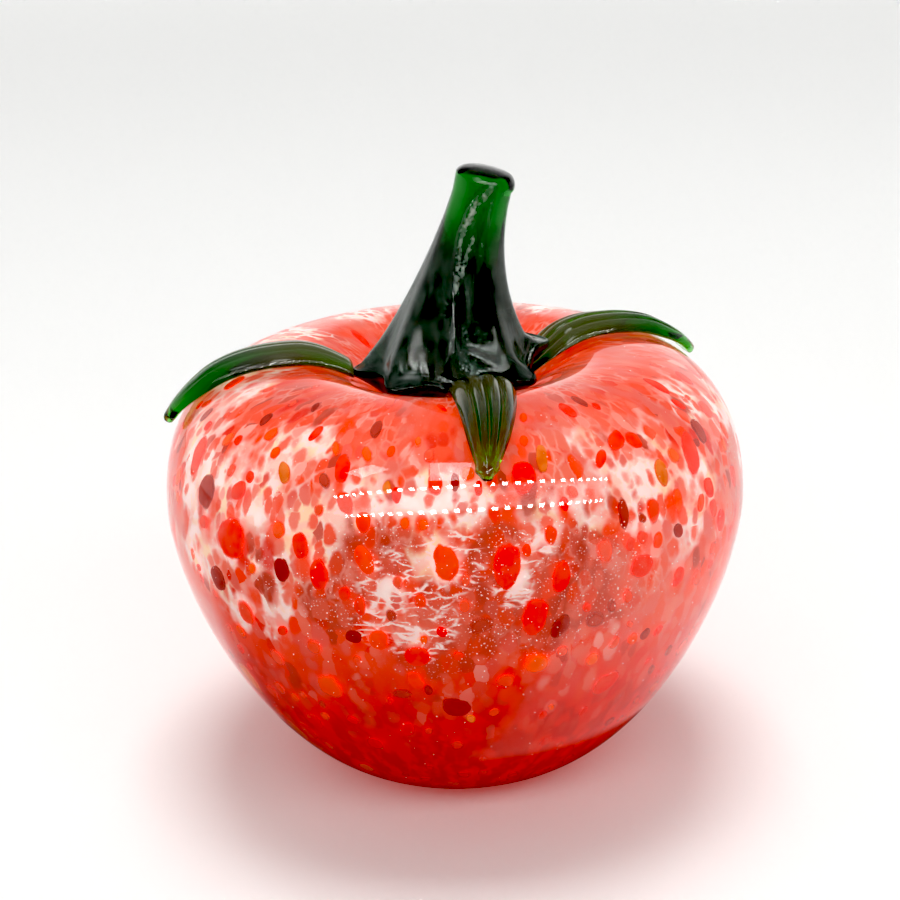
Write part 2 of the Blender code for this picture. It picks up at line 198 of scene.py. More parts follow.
def turned(radius, azimuth, z):
    return Vector((radius * cos(azimuth), radius * sin(azimuth), z))


def angle_between(a, b):
    return abs(remainder(a - b, tau))


def dip_z(radius):
    return CREST_Z - DIP_DEPTH * (1 + cos(pi * min(1, radius / CREST_RADIUS))) / 2


class Skin:
    """The body's outer half outline, read by the distance run along it from the base centre."""

    def __init__(self):
        steps = OUTLINE_STEPS
        quarter = [pi / 2 * i / steps for i in range(steps + 1)]
        bowl = [
            (
                BASE_RADIUS + (BODY_RADIUS - BASE_RADIUS) * sin(a) ** (2 / BOWL_POWERS[0]),
                EQUATOR_Z * (1 - max(0.0, cos(a)) ** (2 / BOWL_POWERS[1])),
            )
            for a in quarter
        ]
        width, height = BODY_RADIUS - CREST_RADIUS, CREST_Z - EQUATOR_Z
        shoulder = [
            (
                CREST_RADIUS + width * max(0.0, cos(a)) ** (2 / SHOULDER_POWERS[0]),
                EQUATOR_Z + height * sin(a) ** (2 / SHOULDER_POWERS[1]),
            )
            for a in quarter
        ]
        dip_radii = [CREST_RADIUS * (1 - i / steps) for i in range(steps + 1)]
        dip = [(r, dip_z(r)) for r in dip_radii]
        self.points = [(0.0, 0.0)] + bowl + shoulder[1:] + dip[1:]
        self.runs = [0.0]
        for a, b in zip(self.points, self.points[1:]):
            self.runs.append(self.runs[-1] + dist(a, b))
        self.equator = self.runs[len(bowl)]
        self.hole = self.run_at_radius(PIPE_HOLE_RADIUS)

    def at(self, run):
        """(radius, z) of the skin, and its outward normal there as (radial, z)."""
        i = min(len(self.runs) - 1, max(1, bisect_left(self.runs, run)))
        share = (run - self.runs[i - 1]) / (self.runs[i] - self.runs[i - 1])
        a, b = self.points[i - 1], self.points[i]
        before, after = max(0, i - NORMAL_REACH), min(len(self.points) - 1, i + NORMAL_REACH - 1)
        c, d = self.points[before], self.points[after]
        radial, up = d[0] - c[0], d[1] - c[1]
        length = hypot(radial, up)
        place = (a[0] + (b[0] - a[0]) * share, a[1] + (b[1] - a[1]) * share)
        return place, (up / length, -radial / length)

    def under(self, run, depth):
        """(radius, z) of the surface that lies this deep under the skin on the sides."""
        (radius, z), (out, up) = self.at(run)
        below = max(0.0, 1 - z / EQUATOR_Z)
        depth *= 1 + BASE_THICKENING * below * below
        if run <= BASE_RADIUS:
            return radius, z + depth
        return radius - out * depth, z - up * depth

    def over(self, run, azimuth, height):
        (radius, z), (out, up) = self.at(run)
        return turned(radius + out * height, azimuth, z + up * height)

    def run_at_radius(self, radius):
        for i in range(1, len(self.points)):
            if self.runs[i] > self.equator and self.points[i][0] <= radius:
                return self.runs[i]
        return self.runs[-1]

    def run_at_height(self, z):
        for i in range(1, len(self.points)):
            if self.points[i][1] >= z:
                return self.runs[i]
        return self.runs[-1]


SKIN = Skin()


# ---- meshes


def add_object(name, data):
    obj = bpy.data.objects.new(name, data)
    bpy.context.scene.collection.objects.link(obj)
    return obj


def add_mesh(name, vertices, faces):
    mesh = bpy.data.meshes.new(name)
    mesh.from_pydata(vertices, [], faces)
    return add_object(name, mesh)


def closed_piece(name, vertices, faces):
    """A mesh with its faces turned outwards and shaded smooth."""
    obj = add_mesh(name, vertices, faces)
    bm = bmesh.new()
    bm.from_mesh(obj.data)
    bmesh.ops.recalc_face_normals(bm, faces=bm.faces)
    bm.to_mesh(obj.data)
    bm.free()
    obj.data.shade_smooth()
    return obj


def ring_mesh(name, rings):
    """Joins closed rings of points in order, each ring a list of the same length or a pole."""
    vertices, faces, starts = [], [], []
    for ring in rings:
        starts.append(len(vertices))
        vertices += [tuple(point) for point in ring]
    for (a, ring_a), (b, ring_b) in zip(zip(starts, rings), list(zip(starts, rings))[1:]):
        na, nb = len(ring_a), len(ring_b)
        for i in range(max(na, nb)):
            j = (i + 1) % max(na, nb)
            corners = [a + i % na, a + j % na, b + j % nb, b + i % nb]
            faces.append(list(dict.fromkeys(corners)))
    return closed_piece(name, vertices, faces)


def show(obj, material, slot, *replaced):
    obj.data.materials.append(material)
    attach(obj, "root")
    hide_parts(*replaced)


def turned_ring(radius, z, segments, ripple=0.0):
    if radius < 1e-9:
        return [Vector((0, 0, z))]
    ring = []
    for i in range(segments):
        azimuth = tau * i / segments
        swell = sum(share * sin(waves * azimuth + twist * z) for share, waves, twist in CASING_WAVES)
        ring.append(turned(radius + ripple * swell, azimuth, z))
    return ring


def layer_runs(rings):
    """The rings' places along the outline: a few across the flat base, then evenly to the hole."""
    flat = [BASE_RADIUS * i / BASE_RINGS for i in range(BASE_RINGS + 1)]
    return flat + [BASE_RADIUS + (SKIN.hole - BASE_RADIUS) * (i + 1) / rings for i in range(rings)]


def layer(name, depths, segments, rings, ripple=0.0):
    """A shell of glass between two depths, open at the blowpipe hole."""
    runs = layer_runs(rings)
    outer = [SKIN.under(run, depths[0]) for run in runs]
    inner = [SKIN.under(run, depths[1]) for run in reversed(runs)]
    ripples = [ripple * smoothstep(*RIPPLE_RISE, z) for _, z in outer] + [0.0] * len(inner)
    places = zip(outer + inner, ripples)
    return ring_mesh(name, [turned_ring(r, z, segments, wave) for (r, z), wave in places])


def flow_place(azimuth, run):
    """A place in the glass's flow: the equator's circle, and the run up the outline.

    A pattern in these coordinates narrows towards the poles, as the blown glass's does.
    """
    return turned(BODY_RADIUS, azimuth, run)


def add_attribute(obj, name, kind, field, values):
    attribute = obj.data.attributes.new(name, kind, "POINT")
    attribute.data.foreach_set(field, values)


# Patches of the powder: azimuth in degrees, height and reach in mm. The rest are dealt at random.
MILKY_PATCHES = (
    (227, 63, 10), (241, 60, 8), (217, 58, 8), (205, 60, 7), (236, 54, 6), (252, 66, 5), (264, 65, 6),
    (271, 64, 5), (266, 56, 4), (257, 49, 3), (294, 62, 5), (287, 60, 4), (281, 51, 3), (248, 63, 5),
    (318, 53, 5), (311, 61, 6), (325, 60, 5), (305, 66, 5), (234, 45, 4), (225, 50, 5), (261, 42, 2.5),
    (212, 47, 6), (221, 42, 5), (231, 38, 3), (188, 72, 9), (150, 72, 9), (120, 72, 8), (60, 71, 8),
    (30, 72, 8), (200, 70, 8), (236, 70.5, 5), (318, 68, 4), (338, 69, 6), (300, 70, 3),
)
CRACKLED_PATCHES = (
    (259, 50, 6), (264, 46, 5), (255, 44, 4), (268, 55, 5), (280, 50, 3), (284, 56, 3), (262, 41, 4),
)
# Dusty patches: dusty powder, and in front a painted dim reflection.
DUST_AND_REFLECTION_PATCHES = (
    (250, 53, 5), (246, 47, 5), (278, 55, 5), (293, 51, 7), (272, 46, 7), (287, 44, 6), (300, 47, 6),
    (258, 57, 4), (265, 38, 5), (232, 50, 3),
)
PATCHES_BEHIND = {"milky": 26, "crackled": 7, "dust_and_reflection": 16}
BEHIND_AZIMUTHS, BEHIND_HEIGHTS, BEHIND_REACHES = (-15, 175), (34, 70), (3.5, 8)
PATCH_SEED = 3
PATCH_FADE = 1.8
PATCH_FULL = 0.8


def patches_behind(dice, count):
    """More patches like the front's, for the side that the front ones leave plain."""
    ranges = (BEHIND_AZIMUTHS, BEHIND_HEIGHTS, BEHIND_REACHES)
    return [[dice.uniform(low, high) for low, high in ranges] for _ in range(count)]


def patch_strengths(places, patches):
    """For each place: 0 outside the patches, rising to 1 in the middle of one."""
    strength = np.zeros(len(places))
    for azimuth, height, reach in patches:
        middle = flow_place(radians(azimuth), SKIN.run_at_height(height * MM))
        away = np.linalg.norm(places - np.array(middle), axis=1)
        strength = np.maximum(strength, 1 - away / (PATCH_FADE * reach * MM))
    share = np.clip(strength / PATCH_FULL, 0, 1)
    return share * share * (3 - 2 * share)


def powder_layer():
    obj = layer("powder_and_frit", POWDER_DEPTHS, POWDER_SEGMENTS, POWDER_RINGS)
    runs = layer_runs(POWDER_RINGS)
    places = np.array([
        flow_place(tau * i / POWDER_SEGMENTS, run)
        for run in runs + runs[::-1]
        for i in range(1 if run == 0 else POWDER_SEGMENTS)
    ])
    add_attribute(obj, "flow", "FLOAT_VECTOR", "vector", places.ravel())
    dice = random.Random(PATCH_SEED)
    in_front = {"milky": MILKY_PATCHES, "crackled": CRACKLED_PATCHES, "dust_and_reflection": DUST_AND_REFLECTION_PATCHES}
    for name, patches in in_front.items():
        around = list(patches) + patches_behind(dice, PATCHES_BEHIND[name])
        add_attribute(obj, name, "FLOAT", "value", patch_strengths(places, around))
    return obj


# ---- chips

# The largest chips in front: colour, azimuth in degrees, height, width and length in mm, lean.
LARGE_CHIPS = (
    ("red", 223, 53.5, 7.6, 8.8, 0), ("red", 244, 51.5, 3.6, 6.2, 0),
    ("orange", 235, 57.5, 2.8, 3.6, 10), ("dark_red", 213, 59, 5.4, 7.0, -15),
    ("red", 223, 61.5, 3.4, 4.2, 0), ("red", 205, 63, 4.2, 8.0, -10),
    ("dark_red", 236, 51, 3.2, 4.8, 0), ("dark_red", 218, 45, 4.6, 5.2, 10),
    ("red", 225, 40.5, 4.4, 6.0, 12), ("dark_red", 250, 41, 3.2, 2.9, 0),
    ("red", 241, 37.5, 3.6, 3.8, 0), ("red", 252, 47, 2.6, 4.0, 0),
    ("orange", 253, 55, 3.2, 5.6, -20), ("red", 246, 68, 2.8, 6.6, -8),
    ("amber", 233, 66, 2.4, 5.0, -30), ("dark_red", 243, 66, 2.2, 3.8, -25),
    ("orange", 268, 55, 4.4, 7.2, -10), ("orange", 264, 61, 2.2, 2.6, 0),
    ("red", 266, 66.7, 2.6, 4.6, 0), ("dark_red", 270, 67, 1.6, 3.6, 0),
    ("red", 308, 69, 3.4, 4.8, 40), ("red", 302, 67.5, 2.2, 4.2, 35),
    ("red", 326, 63.5, 4.6, 9.0, 20), ("amber", 315, 63, 3.0, 5.4, 12),
    ("red", 310, 58, 3.2, 5.4, 4), ("orange", 317, 58, 2.4, 4.8, 4),
    ("dark_red", 303, 59, 2.4, 6.4, 6), ("red", 298, 54, 3.4, 5.8, 0),
    ("red", 306, 49.5, 5.6, 4.6, 0), ("red", 289, 51, 3.2, 6.6, 8),
    ("red", 284, 44.5, 4.9, 8.0, 10), ("red", 279, 54, 4.6, 9.4, 12),
    ("dark_red", 296, 42, 4.1, 3.8, 30), ("dark_red", 289, 42, 3.2, 5.0, 20),
    ("dark_red", 274, 44, 4.6, 3.9, 0), ("orange", 285, 35.5, 5.2, 5.8, 0),
    ("red", 284, 67, 4.4, 7.2, 0), ("amber", 289, 69, 2.2, 6.4, 10),
    ("dark_red", 269, 27, 5.2, 5.0, 0), ("red", 279, 32.5, 3.2, 3.8, 0),
    ("red", 262, 38, 5.0, 4.6, 0), ("dark_red", 258, 30, 3.6, 2.6, 0),
)
SMALL_CHIP_TRIES = 1500
CHIP_SEED = 11
CHIP_SIDES = 20
CHIP_ROUNDS = (0.45, 0.8, 1.0)
CHIP_FLATNESS = 0.96
CHIP_LOBES = (2, 3, 4, 5)
CHIP_LOBE_HEIGHT = 0.11
CHIP_NEARNESS = 0.93

# Small chips: shares of the colours, half width in mm, its spread and limit, length and lean.
COLOUR_WEIGHTS = (0.60, 0.24, 0.13, 0.03)
SMALL_HALF_WIDTH, SMALL_SPREAD, SMALL_LIMIT = 0.75, 0.55, 3.4
SMALL_STRETCH = (1.0, 1.7)
SMALL_LEAN = 14
THIN_OUT_RADII = (30 * MM, 44 * MM)
THIN_OUT_SHARE = 0.25


class Chip:
    def __init__(self, colour, run, azimuth, half_width, half_length, lean, dice):
        self.colour, self.run, self.azimuth = colour, run, azimuth
        self.half_width, self.half_length, self.lean = half_width, half_length, lean
        self.radius = SKIN.at(run)[0][0]
        self.tint = dice.random() ** (0.5 if half_length > 2 * MM else 1.3)
        self.lobes = [
            (k, dice.uniform(0, CHIP_LOBE_HEIGHT) / (k - 1), dice.uniform(0, 6.28)) for k in CHIP_LOBES
        ]

    def rim_point(self, angle, share):
        """(along, across) of the rim in this direction, drawn in to the share given."""
        reach = share * (1 + sum(a * cos(k * angle + p) for k, a, p in self.lobes))
        across = self.half_width * reach * cos(angle)
        along = self.half_length * reach * sin(angle)
        c, s = cos(self.lean), sin(self.lean)
        return along * c - across * s, across * c + along * s

    def near(self, other):
        along = (self.run - other.run) / (self.half_length + other.half_length)
        turn = remainder(self.azimuth - other.azimuth, tau)
        across = turn * self.radius / (self.half_width + other.half_width)
        return along * along + across * across < CHIP_NEARNESS


def deal_chips():
    """The large chips, and small ones thrown between them wherever they fit."""
    dice = random.Random(CHIP_SEED)
    chips = []
    for colour, azimuth, height, width, length, lean in LARGE_CHIPS:
        place = (SKIN.run_at_height(height * MM), radians(azimuth))
        chips.append(Chip(colour, *place, width * MM / 2, length * MM / 2, radians(lean), dice))
    lowest, highest = 0.2 * BASE_RADIUS, SKIN.run_at_radius(9 * MM)
    for _ in range(SMALL_CHIP_TRIES):
        run = dice.uniform(lowest, highest)
        radius = SKIN.at(run)[0][0]
        crowd = smoothstep(*THIN_OUT_RADII, radius) if run > SKIN.equator else 1.0
        if dice.random() > radius / BODY_RADIUS * (THIN_OUT_SHARE + (1 - THIN_OUT_SHARE) * crowd):
            continue
        squeeze = radius / BODY_RADIUS if run > SKIN.equator else 1.0
        size = min(SMALL_LIMIT, SMALL_HALF_WIDTH * exp(abs(dice.gauss(0, SMALL_SPREAD))))
        half_width = size * MM * squeeze**0.8
        half_length = size * MM * dice.uniform(*SMALL_STRETCH) / max(0.55, squeeze) ** 0.7
        lean = radians(dice.gauss(0, SMALL_LEAN))
        colour = dice.choices(CHIP_COLOURS, COLOUR_WEIGHTS)[0]
        chip = Chip(colour, run, dice.uniform(0, tau), half_width, half_length, lean, dice)
        if not any(chip.near(other) for other in chips):
            chips.append(chip)
    return chips


def chip_piece(colour, chips):
    """All the chips of one colour in one mesh of separate closed lenses."""
    vertices, faces, tints, rims = [], [], [], []

    def add(chip, along, across, depth, rim):
        run = min(SKIN.hole, max(0.0, chip.run + along))
        r, z = SKIN.under(run, depth)
        vertices.append(tuple(turned(r, chip.azimuth + across / chip.radius, z)))
        tints.append(chip.tint)
        rims.append(rim)
        return len(vertices) - 1

    for chip in chips:
        top = add(chip, 0, 0, CHIP_TOP_DEPTH, 0)
        previous = [top]
        for share in CHIP_ROUNDS:
            fallen = 1 - sqrt(1 - share**2 * CHIP_FLATNESS)
            depth = CHIP_TOP_DEPTH + (CHIP_RIM_DEPTH - CHIP_TOP_DEPTH) * fallen
            ring = []
            for i in range(CHIP_SIDES):
                along, across = chip.rim_point(tau * i / CHIP_SIDES, share)
                ring.append(add(chip, along, across, depth, share))
            for i in range(CHIP_SIDES):
                j = (i + 1) % CHIP_SIDES
                inner = [previous[j % len(previous)], previous[i % len(previous)]]
                faces.append(list(dict.fromkeys([ring[i], ring[j], *inner])))
            previous = ring
        foot = add(chip, 0, 0, CHIP_FOOT_DEPTH, 0)
        faces += [[previous[(i + 1) % CHIP_SIDES], previous[i], foot] for i in range(CHIP_SIDES)]
    obj = closed_piece(f"{colour}_chips", vertices, faces)
    add_attribute(obj, "tint", "FLOAT", "value", tints)
    add_attribute(obj, "rim", "FLOAT", "value", rims)
    return obj


# ---- stem and leaves


def point_share(azimuth):
    """1 at each of the skirt's points, falling to 0 between them."""
    return ((1 + cos(SKIRT_POINTS * (azimuth - SKIRT_PHASE))) / 2) ** SKIRT_POINT_SHARPNESS


def edge_radius(azimuth):
    """How far the skirt reaches. It has no point where the front leaf starts."""
    front = angle_between(azimuth, radians(LEAVES["leaf_front"]["azimuth"]))
    kept = smoothstep(0.3, 1.0, front * SKIRT_POINTS / pi)
    return SKIRT_VALLEY_RADIUS + SKIRT_POINT_LENGTH * point_share(azimuth) * kept


def channel_height(azimuth, radius):
    nearest = min(angle_between(azimuth, radians(LEAVES[name]["azimuth"])) for name in TUCKED_LEAVES)
    beside = 1 - smoothstep(*CHANNEL_HALF_WIDTHS, nearest * radius)
    return CHANNEL_HEIGHT * beside * smoothstep(*CHANNEL_RADII, radius)


def skirt_underside(azimuth, radius):
    return dip_z(radius) + GAP + channel_height(azimuth, radius)


def bump(azimuth, middle, half_width):
    """1 at the middle azimuth, falling away to 0 on both sides of it. The last two are in degrees."""
    return exp(-((angle_between(azimuth, radians(middle)) / radians(half_width)) ** 2))


def beside_streak(azimuth, height, beside, half_width):
    """A bump along the streak's line, moved sideways by this many degrees."""
    heights, azimuths = zip(*STREAK)
    return bump(azimuth, np.interp(height, heights, azimuths) + beside, half_width)


def span(value, rise, fall):
    """Rises from 0 to 1 over the first stretch and falls back over the second."""
    return smoothstep(*rise, value) * (1 - smoothstep(*fall, value))


def stem_relief(azimuth, height):
    """How the radius swells and sinks: twisted ribs that fade upwards, and a rib and a facet in front."""
    ribs = NECK_RIBS + SKIRT_RIBS * (1 - height) ** RIB_FADE
    ribs *= 1 - SMOOTHING * bump(azimuth, *SMOOTH_FRONT)
    twist = STEM_TWIST * height**STEM_TWIST_POWER
    rib = FRONT_RIB_DEPTH * beside_streak(azimuth, height, *FRONT_RIB)
    facet = FRONT_FACET_DEPTH * beside_streak(azimuth, height, *FRONT_FACET)
    return ribs * (point_share(azimuth + twist) - RIB_LEVEL) + span(height, *FRONT_SPAN) * (rib - facet)


def stem_ring(height, scale=1.0, corner=0.0):
    """One ring of the stem. corner turns the cut end down into its side, from 0 to 1."""
    radius = NECK_RADIUS + (SKIRT_RADIUS - NECK_RADIUS) * (1 - height) ** SKIRT_FALL
    radius += LIP_HEIGHT * exp(-(((height - 1.0) / LIP_SPREAD) ** 2))
    dome = CUT_DOME * scale**2 if height == 1.0 else 0.0
    ring = []
    for i in range(STEM_SEGMENTS):
        azimuth = tau * i / STEM_SEGMENTS
        across = cos(azimuth)
        reach = scale * radius * (1 + stem_relief(azimuth, height))
        reach = min(reach, edge_radius(azimuth) - SKIRT_SETBACK * height)
        rim_z = skirt_underside(azimuth, radius) + SKIRT_EDGE
        rounding = CUT_ROUNDING[0] + (CUT_ROUNDING[1] - CUT_ROUNDING[0]) * (1 + across) / 2
        fallen = height - (dome + corner * rounding) / STEM_HEIGHT
        z = STEM_FOOT_Z + STEM_HEIGHT * fallen
        z += (rim_z - STEM_FOOT_Z) * (1 - height) ** SKIRT_EDGE_REACH
        z += (CUT_TILT * sin(azimuth) - CUT_SLANT * across) * reach * height**CUT_REACH
        ring.append(turned(reach, azimuth, z) + Vector((STEM_LEAN * fallen**STEM_LEAN_POWER, 0, 0)))
    return ring


def skirt_ring(share, lift=0.0):
    inner = PLUG_RADIUS + PLUG_SHOULDER
    ring = []
    for i in range(STEM_SEGMENTS):
        azimuth = tau * i / STEM_SEGMENTS
        radius = inner + (edge_radius(azimuth) - inner) * share
        scallop = SCALLOP_HEIGHT * (1 - point_share(azimuth)) * smoothstep(*SCALLOP_SHARES, share)
        ring.append(turned(radius, azimuth, skirt_underside(azimuth, radius) + scallop + lift))
    return ring


def stem():
    cut_end = [stem_ring(1.0, share) for share in CUT_FACE_SHARES]
    cut_centre = sum(cut_end[0], Vector()) / STEM_SEGMENTS
    face = CUT_FACE_SHARES[-1]
    quarter = [pi / 2 * (i + 1) / CUT_CORNER_STEPS for i in range(CUT_CORNER_STEPS)]
    corner = [stem_ring(1.0, face + (1 - face) * sin(angle), 1 - cos(angle)) for angle in quarter]
    top, foot = STEM_SIDE
    side = [stem_ring(top - (top - foot) * i / STEM_SIDE_STEPS) for i in range(STEM_SIDE_STEPS + 1)]
    rings = [[cut_centre], *cut_end, *corner, *side]
    for i in range(SKIRT_EDGE_STEPS + 1):
        angle = pi / 2 * i / SKIRT_EDGE_STEPS
        lift = SKIRT_EDGE * (0.15 + 0.85 * cos(angle))
        rings.append(skirt_ring(0.92 + 0.08 * sin(angle), lift))
    rings += [skirt_ring(share) for share in SKIRT_UNDER_SHARES]
    plug_foot = dip_z(0.0) - PLUG_LENGTH
    rings += [
        turned_ring(PLUG_RADIUS, dip_z(PLUG_RADIUS) - PLUG_NECK_DROP, STEM_SEGMENTS),
        turned_ring(PLUG_RADIUS, plug_foot + PLUG_CHAMFER, STEM_SEGMENTS),
        turned_ring(0.75 * PLUG_RADIUS, plug_foot, STEM_SEGMENTS),
        [Vector((0, 0, plug_foot))],
    ]
    return ring_mesh("stem_glass", rings)


def frost_and_sheen_at(azimuth, height):
    """How satin the stem's skin is, and so where sheen and highlight are painted on it: hazy low down, in
    the front facet, and most in its streak.
    """
    widening = np.interp(height, CRESCENT_WIDENING, (0.0, 1.0))
    crescent = beside_streak(azimuth, height, 6 * widening, 4 + 9 * widening)
    arc = beside_streak(azimuth, height, np.interp(height, *ARC_BESIDE), 5)
    drawn = max(
        crescent * span(height, *CRESCENT_SPAN),
        arc * span(height, *ARC_SPAN),
        BAND_HAZE * bump(azimuth, *BAND) * span(height, *BAND_SPAN),
    )
    facet = FACET_HAZE * beside_streak(azimuth, height, *HAZY_FACET)
    facet *= 1 - smoothstep(*FACET_TOP, height)
    pad = PAD_HAZE * beside_streak(azimuth, height, *HAZY_PAD)
    pad *= 1 - smoothstep(*PAD_TOP, height)
    haze = SKIRT_HAZE * (1 - smoothstep(*HAZE_TOP, height))
    return max(drawn, smoothstep(*HAZE_FOOT, height) * max(facet, pad, haze))


def add_frost_and_sheen(obj):
    values = []
    for vertex in obj.data.vertices:
        x, y, z = vertex.co
        height = min(1.0, max(0.0, (z - STEM_FOOT_Z) / STEM_HEIGHT))
        values.append(frost_and_sheen_at(atan2(y, x - STEM_LEAN * height**STEM_LEAN_POWER), height))
    add_attribute(obj, "frost_and_sheen", "FLOAT", "value", values)


def rounded(share, reach):
    """Rises from 0 to 1 over the reach, as a quarter circle does."""
    return sqrt(max(0.0, 1 - (1 - min(1, share / reach)) ** 2))


def leaf_half_width(share, tucked, fullness):
    root = 0.75 + 0.25 * smoothstep(0.0, 0.25, share) if tucked else 0.8 + 0.2 * rounded(share, 0.05)
    taper = (1 - share**fullness) ** LEAF_TAPER
    bead = LEAF_BEAD * exp(-(((share - 0.98) / 0.02) ** 2))
    return LEAF_TIP_RADIUS + bead + (LEAF_HALF_WIDTH - LEAF_TIP_RADIUS) * root * taper


def leaf_height(share, tucked):
    if tucked:
        rise = 0.45 + 0.55 * smoothstep(0.04, 0.3, share)
    else:
        rise = 0.35 + (0.8 - 0.15 * smoothstep(0.15, 0.4, share)) * rounded(share, 0.06)
    return LEAF_HEIGHT * rise * (1 - LEAF_TAIL_THINNING * smoothstep(0.7, 1.0, share))


def leaf_ring(run, azimuth, half_width, height, lift, groove):
    radius = SKIN.at(run)[0][0]
    ring = []
    for i in range(LEAF_CROWN_POINTS + 1):
        angle = pi * (i / LEAF_CROWN_POINTS - 0.5)
        across = half_width * sin(angle)
        valley = (1 - abs(sin(pi * LEAF_RIBS * (0.5 + 0.5 * sin(angle))))) ** 2
        crown = LEAF_EDGE_HEIGHT + (1 - LEAF_EDGE_HEIGHT) * cos(angle) * (1 - groove * valley)
        ring.append(SKIN.over(run, azimuth + across / radius, GAP + lift + height * crown))
    for i in range(1, LEAF_UNDER_POINTS):
        across = half_width * (1 - 2 * i / LEAF_UNDER_POINTS) * LEAF_UNDERSIDE_WIDTH
        ring.append(SKIN.over(run, azimuth + across / radius, GAP + lift))
    return ring


def leaf(name):
    spec = LEAVES[name]
    tucked, slim = name in TUCKED_LEAVES, spec.get("slim", 0.0)
    turns = [radians(spec["azimuth"] + turn) for turn in spec.get("askew", (0.0, 0.0))]
    root, tip = SKIN.run_at_radius(spec["root"] * MM), SKIN.run_at_radius(spec["tip"] * MM)
    rings = []
    for i in range(LEAF_SECTIONS + 1):
        share = i / LEAF_SECTIONS
        lift = LEAF_TIP_LIFT * smoothstep(0.75, 1.0, share)
        groove = spec["groove"] * (1 - smoothstep(0.8, 0.95, share))
        azimuth = turns[0] + (turns[1] - turns[0]) * share
        kept = 1 - slim * (1 - smoothstep(0.0, SLIM_REACH, share))
        half_width, height = leaf_half_width(share, tucked, spec["fullness"]), leaf_height(share, tucked)
        run = root + (tip - root) * share
        rings.append(leaf_ring(run, azimuth, half_width * kept, height * kept, lift, groove))
    root_height = GAP + 0.5 * (1 - slim) * leaf_height(0.0, tucked)
    root_cap = SKIN.over(root + LEAF_ROOT_CAP, turns[0], root_height)
    end = leaf_height(1.0, tucked)
    for step in LEAF_TIP_STEPS:
        shrink = sqrt(1 - step**2)
        run, lift = tip - step * LEAF_TIP_RADIUS, LEAF_TIP_LIFT + end * (1 - shrink) / 2
        rings.append(leaf_ring(run, turns[1], LEAF_TIP_RADIUS * shrink, end * shrink, lift, 0))
    tip_cap = SKIN.over(tip - LEAF_TIP_RADIUS, turns[1], GAP + LEAF_TIP_LIFT + end / 2)
    return ring_mesh(f"{name}_glass", [[root_cap], *rings, [tip_cap]])


# ---- materials


class Graph:
    """Small helper for node trees: most calls add one node and return its output."""

    def __init__(self, owner, shader="Principled BSDF"):
        self.owner = owner
        owner.use_nodes = True
        self.tree = owner.node_tree
        self.shader = self.tree.nodes[shader]

    def add(self, kind):
        return self.tree.nodes.new(f"ShaderNode{kind}")

    def node(self, kind, inputs=None, output=0, **settings):
        node = self.add(kind)
        for key, value in settings.items():
            setattr(node, key, value)
        for key, value in (inputs or {}).items():
            self.feed(node.inputs[key], value)
        return node.outputs[output]

    def feed(self, socket, value):
        if isinstance(value, bpy.types.NodeSocket):
            self.tree.links.new(value, socket)
        elif isinstance(value, tuple) and len(value) == 3 and socket.type == "RGBA":
            socket.default_value = (*value, 1.0)
        else:
            socket.default_value = value

    def math(self, operation, a, b):
        return self.node("Math", {0: a, 1: b}, operation=operation)

    def times(self, a, b):
        return self.math("MULTIPLY", a, b)

    def plus(self, a, b):
        return self.math("ADD", a, b)

    def minus(self, a, b):
        return self.math("SUBTRACT", a, b)

    def ramp(self, value, low, high, to_low=0.0, to_high=1.0):
        """Smoothly takes value from low..high to to_low..to_high."""
        inputs = {"Value": value, "From Min": low, "From Max": high, "To Min": to_low, "To Max": to_high}
        return self.node("MapRange", inputs, interpolation_type="SMOOTHSTEP")

    def mix(self, factor, a, b):
        """Mixes two colours. Sockets 6 and 7 are the ones for colours."""
        inputs = {0: factor, 6: a, 7: b}
        return self.node("Mix", inputs, output=2, data_type="RGBA")

    def attribute(self, name, output=2):
        """An attribute's number, or its vector with output 1."""
        return self.node("Attribute", attribute_name=name, output=output)

    def noise(self, vector, scale, detail=2.0, output=0):
        inputs = {"Vector": vector, "Scale": scale, "Detail": detail}
        return self.node("TexNoise", inputs, output=output)

    def place(self):
        """The place in the object's own frame."""
        return self.node("TexCoord", output=3)

    def axis(self, vector, index):
        return self.node("SeparateXYZ", {0: vector}, output=index)

    def length(self, vector):
        return self.node("VectorMath", {0: vector}, output=1, operation="LENGTH")

    def jitter(self, vector, scale, reach):
        """Shifts the places by a soft noise, so that a pattern on them isn't regular."""
        inputs = {0: self.noise(vector, scale, 3, 1), 1: (0.5, 0.5, 0.5)}
        shift = self.scaled(self.node("VectorMath", inputs, operation="SUBTRACT"), (reach,) * 3)
        return self.node("VectorMath", {0: vector, 1: shift}, operation="ADD")

    def cells(self, vector, scale):
        """Cells round scattered points: the distance to the nearest point, and two random numbers."""
        node = self.add("TexVoronoi")
        self.feed(node.inputs["Vector"], vector)
        node.inputs["Scale"].default_value = scale
        parts = self.add("SeparateColor")
        self.tree.links.new(node.outputs["Color"], parts.inputs[0])
        return node.outputs["Distance"], parts.outputs[0], parts.outputs[1]

    def cell_edges(self, vector, scale):
        inputs = {"Vector": vector, "Scale": scale}
        return self.node("TexVoronoi", inputs, feature="DISTANCE_TO_EDGE")

    def scaled(self, vector, scale):
        return self.node("VectorMath", {0: vector, 1: scale}, operation="MULTIPLY")

    def colours(self, value, stops):
        """A stepped colour ramp: (position, colour) pairs."""
        node = self.add("ValToRGB")
        node.color_ramp.interpolation = "CONSTANT"
        elements = node.color_ramp.elements
        while len(elements) < len(stops):
            elements.new(1.0)
        for element, (position, colour) in zip(elements, stops):
            element.position, element.color = position, (*colour, 1.0)
        self.tree.links.new(value, node.inputs[0])
        return node.outputs[0]

    def set(self, **values):
        for key, value in values.items():
            self.feed(self.shader.inputs[key.replace("_", " ")], value)
        return self.owner


def new_material(name):
    return Graph(bpy.data.materials.new(name))


CLEAR_IOR, GREEN_IOR = 1.5, 1.40


